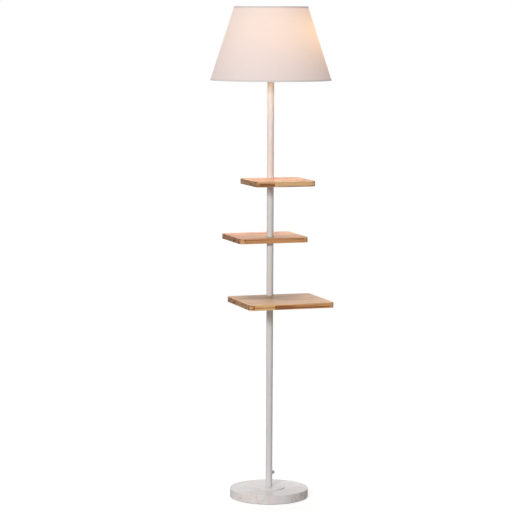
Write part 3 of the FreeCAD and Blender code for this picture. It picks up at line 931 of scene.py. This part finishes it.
shell = turned("brass_screw_shell",
               [[(shell_lip_radius, shell_bottom), (shell_radius - 0.6, shell_bottom),
                 (shell_radius - 0.1, shell_bottom + 0.3)]
                + stepped(shell_radius, shell_bottom + 0.8, shell_top, 60)
                + stepped(shell_bore_radius, shell_top, shell_bottom + 0.8, 60)
                + [(shell_bore_radius - 0.1, shell_bottom + 0.5),
                   (shell_lip_radius, shell_bottom + 0.4)]],
               brass_look, sides=96, crease=50)
grown(shell, thread_rule, Pitch=cap_pitch * MM, Depth=shell_thread_depth * MM,
      Bottom=(shell_bottom + 1.4) * MM, Top=(shell_top - 0.2) * MM,
      Least_Radius=(shell_bore_radius - 0.3) * MM, Finish=brass_look)
fit(shell, "stand", "brass", "screw_shell")


# ---- shade ring ---------------------------------------------------------------------
# The moulded ring that screws down the lampholder's thread and clamps the shade's fitter.
# Twelve half-round notches round its rim give the fingers a grip.
ring_radius = 28.0
ring_bore_radius = 20.04
ring_bottom = skirt_shoulder_top + 1.5
ring_top = ring_bottom + 7.5
ring_ease = 0.5
ring_notches = 12
notch_radius = 1.5
sides_per_notch = 24
channel_depth = 0.8

notch_rule, sizes, end = new_rule("notched rim", {
    "Notches": "Int", "Notch Radius": "Float", "Rim Radius": "Float", "Least Radius": "Float",
    "Finish": "Material"})
calc = partial(maths, notch_rule)
axes = axes_of(notch_rule)
angle = calc("ARCTAN2", axes[1], axes[0])
turns = calc("DIVIDE", calc("MULTIPLY", angle, sizes["Notches"]), 2 * math.pi)
nearest = calc("SUBTRACT", turns, calc("ROUND", turns))
along = calc("MULTIPLY", calc("DIVIDE", nearest, sizes["Notches"]), 2 * math.pi)
along = calc("MULTIPLY", along, sizes["Rim Radius"])
room = calc("SUBTRACT", calc("MULTIPLY", sizes["Notch Radius"], sizes["Notch Radius"]),
            calc("MULTIPLY", along, along))
depth = calc("SQRT", calc("MAXIMUM", room, 0.0))
outside = calc("GREATER_THAN", diagonal(notch_rule, axes[0], axes[1]), sizes["Least Radius"])
inward = calc("MULTIPLY", calc("MULTIPLY", depth, outside), -1.0)
notched = add(notch_rule, "GeometryNodeSetPosition",
              {"Geometry": sizes["Geometry"], "Offset": spun(notch_rule, inward, angle)})
end_rule(notch_rule, end, notched.outputs[0], sizes["Finish"])

ring_look = moulded_look("white ring plastic", paint(228, 225, 218), 0.34)
ring = turned("shade_clamp_ring",
              [eased([(ring_bore_radius, ring_bottom), (ring_radius, ring_bottom),
                      (ring_radius, ring_top), (25.0, ring_top),
                      (24.0, ring_top - channel_depth), (22.4, ring_top - channel_depth),
                      (21.6, ring_top), (ring_bore_radius, ring_top)], ring_ease)],
              ring_look, sides=ring_notches * sides_per_notch)
grown(ring, notch_rule, Notches=ring_notches, Notch_Radius=notch_radius * MM,
      Rim_Radius=ring_radius * MM, Least_Radius=(ring_radius - notch_radius) * MM,
      Finish=ring_look)
fit(ring, "stand", "white_plastic", "shade_retaining_ring")


# ---- shade fitter -------------------------------------------------------------------
# A flat steel ring that sits on the lampholder's shoulder, with three round arms welded
# beneath it that slope down and out to the bottom wire. All of it is enamelled white.
fitter_bottom = skirt_shoulder_top
fitter_top = ring_bottom
fitter_bore_radius = 20.5
fitter_radius = 29.0
fitter_ease = 0.35
arm_count = 3
arm_radius = 1.7
arm_start = 24.75
arm_level_end = 32.4
arm_end = 188.9
arm_height = fitter_bottom - arm_radius + 0.4
arm_bend_radius = 9.0
bottom_wire_height = 1361.35


def copied_round(rule, item, count, first_angle=0.0):
    """Copies of an item, evenly turned about the Z axis."""
    points = add(rule, "GeometryNodePoints", {"Count": count})
    copies = add(rule, "GeometryNodeInstanceOnPoints", {"Points": points.outputs[0],
                                                        "Instance": item})
    index = add(rule, "GeometryNodeInputIndex").outputs[0]
    turn = maths(rule, "MULTIPLY_ADD", maths(rule, "DIVIDE", index, count), 2 * math.pi,
                 first_angle)
    turn = add(rule, "ShaderNodeCombineXYZ", {2: turn}).outputs[0]
    return add(rule, "GeometryNodeRotateInstances",
               {"Instances": copies.outputs[0], "Rotation": turn}).outputs[0]


# An arm is a bent rod through three corners; its bend is a fillet.
arms_rule, sizes, end = new_rule("arms round a ring", {
    "Count": "Int", "First Angle": "Float", "Arm Radius": "Float", "Bend Radius": "Float",
    "Start": "Vector", "Knee": "Vector", "End": "Vector", "Finish": "Material"},
    takes_mesh=False)
corners = add(arms_rule, "GeometryNodeMeshLine", {"Count": 3})
which = add(arms_rule, "GeometryNodeIndexSwitch", data_type="VECTOR")
which.index_switch_items.new()
arms_rule.links.new(add(arms_rule, "GeometryNodeInputIndex").outputs[0], which.inputs["Index"])
for corner, size in enumerate(("Start", "Knee", "End")):
    arms_rule.links.new(sizes[size], which.inputs[corner + 1])
placed = add(arms_rule, "GeometryNodeSetPosition", {"Geometry": corners.outputs[0],
                                                    "Position": which.outputs[0]})
line = add(arms_rule, "GeometryNodeMeshToCurve", {"Mesh": placed.outputs[0]})
line = add(arms_rule, "GeometryNodeFilletCurve", {"Curve": line.outputs[0], "Count": 8,
                                                  "Radius": sizes["Bend Radius"],
                                                  "Limit Radius": True}, mode="POLY")
circle = add(arms_rule, "GeometryNodeCurvePrimitiveCircle", {"Resolution": 16,
                                                             "Radius": sizes["Arm Radius"]})
rod = add(arms_rule, "GeometryNodeCurveToMesh", {"Curve": line.outputs[0],
                                                 "Profile Curve": circle.outputs[0],
                                                 "Fill Caps": True})
spread = copied_round(arms_rule, rod.outputs[0], sizes["Count"], sizes["First Angle"])
end_rule(arms_rule, end, spread, sizes["Finish"])


def empty_piece(name):
    """A piece without a mesh yet, for a rule to fill."""
    piece = bpy.data.objects.new(name, bpy.data.meshes.new(name))
    scene.collection.objects.link(piece)
    return piece


enamel_look = coated_look("white wire enamel", paint(232, 230, 226), 0.34)
fitter_ring = turned("shade_fitter_ring",
                     [band(fitter_bore_radius, fitter_radius, fitter_bottom, fitter_top,
                           fitter_ease)], enamel_look)
fit(fitter_ring, "stand", "white_metal", "shade_fitter")
arms = grown(empty_piece("shade_fitter_arms"), arms_rule, Count=arm_count,
             First_Angle=math.radians(90), Arm_Radius=arm_radius * MM,
             Bend_Radius=arm_bend_radius * MM, Start=Vector((arm_start, 0, arm_height)) * MM,
             Knee=Vector((arm_level_end, 0, arm_height)) * MM,
             End=Vector((arm_end, 0, bottom_wire_height)) * MM, Finish=enamel_look)
fit(arms, "stand", "white_metal")


# ---- shade wires --------------------------------------------------------------------
# Round steel wire rings, enamelled white, that hold the film and fabric in shape at the
# shade's two edges. The bottom one is welded to the fitter's arms.
wire_radius = 1.8
bottom_wire_radius = 190.8
top_wire_radius = 115.3
top_wire_height = 1592.65

for name, ring_r, height in (("bottom", bottom_wire_radius, bottom_wire_height),
                             ("top", top_wire_radius, top_wire_height)):
    section = [(ring_r + wire_radius * math.cos(math.pi * step / 8),
                height + wire_radius * math.sin(math.pi * step / 8)) for step in range(16)]
    wire = turned("shade_wire_" + name, [section], enamel_look, sides=200)
    fit(wire, "stand", "white_metal", "shade_%s_wire" % name)


# ---- shade cover and film -----------------------------------------------------------
# Off-white plain-weave fabric laminated to a stiff white film, rolled into a cone and
# glued with an overlapping seam at the back. The lit bulb's glow through it is painted
# into the cloth as emission.
rim_bottom = 1359.0
rim_top = 1595.0
rim_bottom_radius = 195.0
rim_top_radius = 118.0
cloth_bottom = rim_bottom + 0.5
cloth_top = rim_top - 0.5
cloth_thickness = 0.8
film_thickness = 0.6
film_gap = 0.05
seam_proud = 0.35
seam_thickness = 0.34
seam_sweep = 3.4

wall_rule, sizes, end = new_rule("tapered wall", {
    "Bottom Radius": "Float", "Top Radius": "Float", "Bottom": "Float", "Top": "Float",
    "First Angle": "Float", "Sweep": "Float", "Columns": "Int", "Rows": "Int",
    "Finish": "Material"}, takes_mesh=False)
calc = partial(maths, wall_rule)
grid = add(wall_rule, "GeometryNodeMeshGrid", {"Size X": 1.0, "Size Y": 1.0,
                                               "Vertices X": sizes["Columns"],
                                               "Vertices Y": sizes["Rows"]})
axes = axes_of(wall_rule)
round_share = calc("ADD", axes[0], 0.5)
up_share = calc("ADD", axes[1], 0.5)
angle = calc("MULTIPLY_ADD", round_share, sizes["Sweep"], sizes["First Angle"])
radius_gain = calc("SUBTRACT", sizes["Top Radius"], sizes["Bottom Radius"])
height_gain = calc("SUBTRACT", sizes["Top"], sizes["Bottom"])
radius = calc("MULTIPLY_ADD", up_share, radius_gain, sizes["Bottom Radius"])
height = calc("MULTIPLY_ADD", up_share, height_gain, sizes["Bottom"])
# The cloth is cut flat as part of a ring: the weave keeps that flat pattern's coordinates.
slant = diagonal(wall_rule, radius_gain, height_gain)
flatten = calc("DIVIDE", slant, calc("ABSOLUTE", radius_gain))
flat_place = spun(wall_rule, calc("MULTIPLY", radius, flatten), calc("DIVIDE", angle, flatten))
mapped = add(wall_rule, "GeometryNodeStoreNamedAttribute",
             {"Geometry": grid.outputs[0], "Name": "UVMap", "Value": flat_place},
             data_type="FLOAT2", domain="CORNER")
rolled = add(wall_rule, "GeometryNodeSetPosition",
             {"Geometry": mapped.outputs[0], "Position": spun(wall_rule, radius, angle, height)})
closed = add(wall_rule, "GeometryNodeMergeByDistance", {"Geometry": rolled.outputs[0],
                                                        "Distance": 0.00001})
smooth = add(wall_rule, "GeometryNodeSetShadeSmooth", {"Geometry": closed.outputs[0]})
end_rule(wall_rule, end, smooth.outputs[0], sizes["Finish"])


def wall_radius_at(height):
    """The cone's outer radius at a height."""
    share = (height - rim_bottom) / (rim_top - rim_bottom)
    return rim_bottom_radius - (rim_bottom_radius - rim_top_radius) * share


def tapered_wall(name, inset, thickness, look, sweep=360.0, columns=241):
    """A rolled wall from the back seam round, whose outer face lies inset from the cone."""
    wall = grown(empty_piece(name), wall_rule,
                 Bottom_Radius=(wall_radius_at(cloth_bottom) - inset) * MM,
                 Top_Radius=(wall_radius_at(cloth_top) - inset) * MM,
                 Bottom=cloth_bottom * MM, Top=cloth_top * MM,
                 First_Angle=math.radians(90), Sweep=math.radians(sweep),
                 Columns=columns, Rows=13, Finish=look)
    shape = bmesh.new()
    shape.from_mesh(wall.data)
    bmesh.ops.recalc_face_normals(shape, faces=shape.faces)
    shape.to_mesh(wall.data)
    shape.free()
    first = wall.data.polygons[0]
    if first.normal.x * first.center.x + first.normal.y * first.center.y < 0:
        wall.data.flip_normals()
    skin = wall.modifiers.new("thickness", "SOLIDIFY")
    skin.thickness = thickness * MM
    skin.offset = -1
    skin.use_even_offset = True
    depsgraph = bpy.context.evaluated_depsgraph_get()
    solid = bpy.data.meshes.new_from_object(wall.evaluated_get(depsgraph),
                                            preserve_all_data_layers=True, depsgraph=depsgraph)
    wall.modifiers.clear()
    wall.data = solid
    solid.set_sharp_from_angle(angle=math.radians(35))
    return wall


glow_centre = (0.050, 0.0, 1.480)
cone_outward = 0.951
cone_upward = 0.310
threads_per_metre = 9500.0 / (2 * math.pi)


def glow(tree, place):
    """How strongly the bulb shines straight through each point of the cone, as a number.

    It follows the light's slant and distance from a point beside the bulb.
    """
    vectors = partial(add, tree, "ShaderNodeVectorMath")
    way = vectors({0: place, 1: glow_centre}, operation="SUBTRACT").outputs[0]
    away = vectors({0: way}, operation="LENGTH").outputs["Value"]
    flat = vectors({0: place, 1: (1, 1, 0)}, operation="MULTIPLY").outputs[0]
    flat = vectors({0: flat}, operation="NORMALIZE").outputs[0]
    outward = vectors({0: flat, 3: cone_outward}, operation="SCALE").outputs[0]
    outward = vectors({0: outward, 1: (0, 0, cone_upward)}, operation="ADD").outputs[0]
    straight = vectors({0: way, 1: outward}, operation="DOT_PRODUCT").outputs["Value"]
    return maths(tree, "DIVIDE", straight, maths(tree, "POWER", away, 3.0))


def cloth_look(name, colour, direct, even_glow):
    """Plain-weave shade cloth with a glow painted in as emission: direct is the colour of the
    bulb's light straight through it, and the even part is a painted glow for the light thrown
    about inside first, which also evens out the cloth's shading."""
    look, tree, surface, place = new_look(name, Roughness=0.88, Specular_IOR_Level=0.2,
                                          Sheen_Weight=0.15, Emission_Strength=1.0)
    flat = add(tree, "ShaderNodeUVMap", uv_map="UVMap").outputs[0]
    slub_x = noise(tree, flat, (25, 1300, 1), detail=3)
    slub_y = noise(tree, flat, (1300, 25, 1), detail=3)
    axes = add(tree, "ShaderNodeSeparateXYZ", {0: flat}).outputs
    warp, weft = [maths(tree, "SINE", maths(tree, "MULTIPLY", axes[side],
                                            2 * math.pi * threads_per_metre))
                  for side in (0, 1)]
    weave = maths(tree, "MULTIPLY", warp, weft)
    yarn = maths(tree, "MULTIPLY_ADD", weave, 0.18, maths(tree, "ADD", slub_x, slub_y))
    shade = between(tree, yarn, 0, 1, 0.65, 1.35)
    tree.links.new(blended(tree, shade, darker(colour, 0.93), colour),
                   surface.inputs["Base Color"])
    vectors = partial(add, tree, "ShaderNodeVectorMath")
    through = vectors({0: direct, 3: glow(tree, place)}, operation="SCALE").outputs[0]
    through = vectors({0: through, 1: even_glow}, operation="ADD").outputs[0]
    through = vectors({0: through, 3: between(tree, shade, 0.97, 1.03)}, operation="SCALE")
    tree.links.new(through.outputs[0], surface.inputs["Emission Color"])
    bumped(tree, surface, yarn, 0.00012)
    return look


# The cloth's own colour is kept greyer, and its painted glow makes up the rest.
cloth = cloth_look("plain weave shade cloth", paint(197, 192, 191),
                   direct=(0.0079, 0.0045, 0.0013), even_glow=(0.226, 0.168, 0.180))
film_look, tree, surface, place = new_look("white shade film")
waves = noise(tree, place, (30, 30, 30), detail=3)
coloured(tree, surface, waves, paint(238, 234, 228), paint(229, 224, 216))
glossed(tree, surface, waves, 0.42, 0.56)
bumped(tree, surface, waves, 0.0001)

shade_cover = tapered_wall("shade_cloth", 0.0, cloth_thickness, cloth)
shade_film = tapered_wall("shade_film", cloth_thickness + film_gap, film_thickness, film_look)
seam = tapered_wall("shade_cloth_seam", -seam_proud, seam_thickness, cloth, sweep=seam_sweep,
                    columns=9)
fit(shade_cover, "stand", "shade_fabric", "shade_cover")
fit(shade_film, "stand", "shade_film", "shade_liner")
fit(seam, "stand", "shade_fabric")


# ---- shade bindings -----------------------------------------------------------------
# The cloth's edges are rolled over the wires and glued inside, which makes a narrow band
# of several layers that lets less light through; its painted glow is weaker.
binding_height = 5.0
binding_proud = 0.5
binding_wall = 1.5
binding_fold = 0.55
binding_gap = 0.06
fold_steps = 8

cloth_band = cloth_look("rolled shade cloth", paint(204, 198, 197),
                        direct=(0.0024, 0.0016, 0.0006), even_glow=(0.10, 0.08, 0.085))


def binding(name, edge, inward):
    """A rolled band over one edge: a rounded fold between an outer and an inner lip."""
    far = edge + inward * binding_height
    fold = edge + inward * binding_fold
    outer = [(wall_radius_at(far) + binding_gap, far),
             (wall_radius_at(far) + binding_gap + 0.3, far),
             (wall_radius_at(far) + binding_proud, far - inward * 0.5),
             (wall_radius_at(fold) + binding_proud, fold + inward * 0.4)]
    middle = wall_radius_at(edge) + binding_proud - binding_wall / 2
    turns = [math.pi * step / fold_steps for step in range(1, fold_steps)]
    sweep = [(middle + (binding_wall / 2 + 0.15) * math.cos(turn),
              fold + inward * 0.1 - inward * 0.6 * math.sin(turn)) for turn in turns]
    inner = [(wall_radius_at(fold) - binding_wall, fold + inward * 0.1),
             (wall_radius_at(fold) - binding_wall, fold + inward * 0.3),
             (wall_radius_at(fold) + 0.05, fold + inward * 0.3)]
    return turned(name, [outer + sweep + inner], cloth_band, sides=240, crease=60)


binding_bottom = binding("shade_binding_bottom", rim_bottom, 1)
binding_top = binding("shade_binding_top", rim_top, -1)
fit(binding_bottom, "stand", "shade_fabric", "shade_bottom_trim")
fit(binding_top, "stand", "shade_fabric", "shade_top_trim")


# ---- bulb ---------------------------------------------------------------------------
# A lit screw bulb: brass tip, black glass, nickel screw cap, a white collar that sheds
# heat, a board of LEDs, and an opal globe. It unscrews upward out of the lampholder.
tip_bottom = 1395.8
tip_top = 1397.3
tip_radius = 4.5
cap_bottom = 1400.3
cap_top = 1420.3
cap_radius = 13.15
cap_neck_radius = 11.0
cap_thread_depth = 0.9
collar_profile = [(13.85, 0), (14.6, 4), (17.6, 14), (22.4, 27)]
collar_top = 1458.83
collar_rim_radius = 26.0
led_board_radius = 22.0
led_board_top = collar_top + 1.6
globe_height = 1473.8
globe_radius = 30.0
globe_wall = 1.2
globe_neck_radius = 14.97

nickel_look = metal_look("nickel plate", paint(205, 203, 198), 0.2)
black_glass_look = moulded_look("black glass", paint(28, 26, 26), 0.12)
collar_look = moulded_look("white collar plastic", paint(236, 234, 230), 0.4)
board_look = moulded_look("white circuit board", paint(236, 238, 234), 0.3)

tip = turned("bulb_tip_contact",
             [eased([(0, tip_bottom), (3.2, tip_bottom), (tip_radius, tip_bottom + 0.8),
                     (tip_radius, tip_top), (0, tip_top)], 0.3)], brass_look, sides=48)
fit(tip, "bulb", "brass", "bulb_tip")
glass = turned("bulb_black_glass",
               [eased([(0, tip_top), (tip_radius, tip_top), (cap_neck_radius + 0.15, cap_bottom),
                       (0, cap_bottom)], 0.3)], black_glass_look, sides=64)
fit(glass, "bulb", "dark_glass", "bulb_insulator")
screw_cap = turned("bulb_screw_cap",
                   [[(0, cap_bottom), (cap_neck_radius, cap_bottom)]
                    + stepped(cap_radius, cap_bottom + 0.8, cap_top, 72) + [(0, cap_top)]],
                   nickel_look, sides=96, crease=50)
grown(screw_cap, thread_rule, Pitch=cap_pitch * MM, Depth=cap_thread_depth * MM,
      Bottom=cap_bottom * MM, Top=(cap_top - 2.5) * MM, Least_Radius=(cap_neck_radius + 1) * MM,
      Finish=nickel_look)
fit(screw_cap, "bulb", "nickel", "bulb_cap")
collar = turned("bulb_collar_body",
                [eased([(0, cap_top)]
                       + [(radius, cap_top + rise) for radius, rise in collar_profile]
                       + [(collar_rim_radius - 0.4, collar_top - 3),
                          (collar_rim_radius, collar_top), (0, collar_top)], 1.2)],
                collar_look, sides=96, crease=50)
fit(collar, "bulb", "white_plastic", "bulb_collar")
led_board = turned("bulb_led_plate",
                   [band(0, led_board_radius, collar_top, led_board_top, 0.2)],
                   board_look, sides=64)
fit(led_board, "bulb", "white_plastic", "bulb_led_board")

# Twelve small yellow chips in a circle on the board.
chip_rule, sizes, end = new_rule("chips round a board", {
    "Count": "Int", "Circle": "Float", "Chip": "Vector", "Height": "Float",
    "Finish": "Material"}, takes_mesh=False)
chip = add(chip_rule, "GeometryNodeMeshCube", {"Size": sizes["Chip"], "Vertices X": 3,
                                               "Vertices Y": 3, "Vertices Z": 2})
chip_place = add(chip_rule, "ShaderNodeCombineXYZ", {0: sizes["Circle"], 2: sizes["Height"]})
chip = add(chip_rule, "GeometryNodeTransform", {"Geometry": chip.outputs[0],
                                                "Translation": chip_place.outputs[0]})
end_rule(chip_rule, end, copied_round(chip_rule, chip.outputs[0], sizes["Count"]),
         sizes["Finish"])
chip_look = moulded_look("yellow phosphor", paint(240, 214, 96), 0.5)
chips = grown(empty_piece("bulb_led_chips"), chip_rule, Count=12, Circle=15.0 * MM,
              Chip=Vector((3.0, 2.8, 0.8)) * MM, Height=(led_board_top + 0.4) * MM,
              Finish=chip_look)
fit(chips, "bulb", "white_plastic")

opal_look, tree, surface, place = new_look("lit opal glass", Roughness=0.35)
cloudy = noise(tree, place, (90, 90, 90))
coloured(tree, surface, cloudy, paint(244, 240, 232), paint(238, 233, 224))
surface.inputs["Emission Color"].default_value = (1.0, 0.80, 0.56, 1)
tree.links.new(between(tree, cloudy, 2.4, 2.6), surface.inputs["Emission Strength"])
bumped(tree, surface, cloudy, 0.00002)


def globe_arc(radius, start, stop, steps=40):
    """An arc of the globe's section, by its angle from straight down."""
    return [(radius * math.sin(angle), globe_height - radius * math.cos(angle))
            for angle in (start + (stop - start) * step / steps for step in range(steps + 1))]


inner_radius = globe_radius - globe_wall
outer = globe_arc(globe_radius, math.asin(collar_rim_radius / globe_radius), math.pi)
inner = globe_arc(inner_radius, math.pi, math.acos(globe_neck_radius / inner_radius))
outer[-1] = (0.0, outer[-1][1])
inner[0] = (0.0, inner[0][1])
globe = turned("bulb_opal_globe", [outer + inner], opal_look, sides=96, crease=50)
fit(globe, "bulb", "opal", "bulb_globe")

bulb_light = bpy.data.lights.new("bulb_light", "POINT")
bulb_light.shadow_soft_size = 0.031
bulb_light.use_soft_falloff = False
bulb_light.energy = 0.55
bulb_light.color = (1.0, 0.60, 0.30)
bulb_lamp = bpy.data.objects.new("bulb_light", bulb_light)
bulb_lamp.location = (0, 0, globe_height * MM)
bulb_lamp.visible_camera = False
scene.collection.objects.link(bulb_lamp)
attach(bulb_lamp, "bulb")

# What the white film throws down out of the shade, on the pole and the boards.
mouth_light = bpy.data.lights.new("mouth_light", "AREA")
mouth_light.shape = "DISK"
mouth_light.size = 0.34
mouth_light.energy = 0.32
mouth_light.spread = math.radians(95)
mouth_light.color = (1.0, 0.47, 0.19)
mouth_lamp = bpy.data.objects.new("mouth_light", mouth_light)
mouth_lamp.location = (0, 0, 1.352)
mouth_lamp.visible_camera = False
mouth_lamp.visible_glossy = False
scene.collection.objects.link(mouth_lamp)
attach(mouth_lamp, "stand")
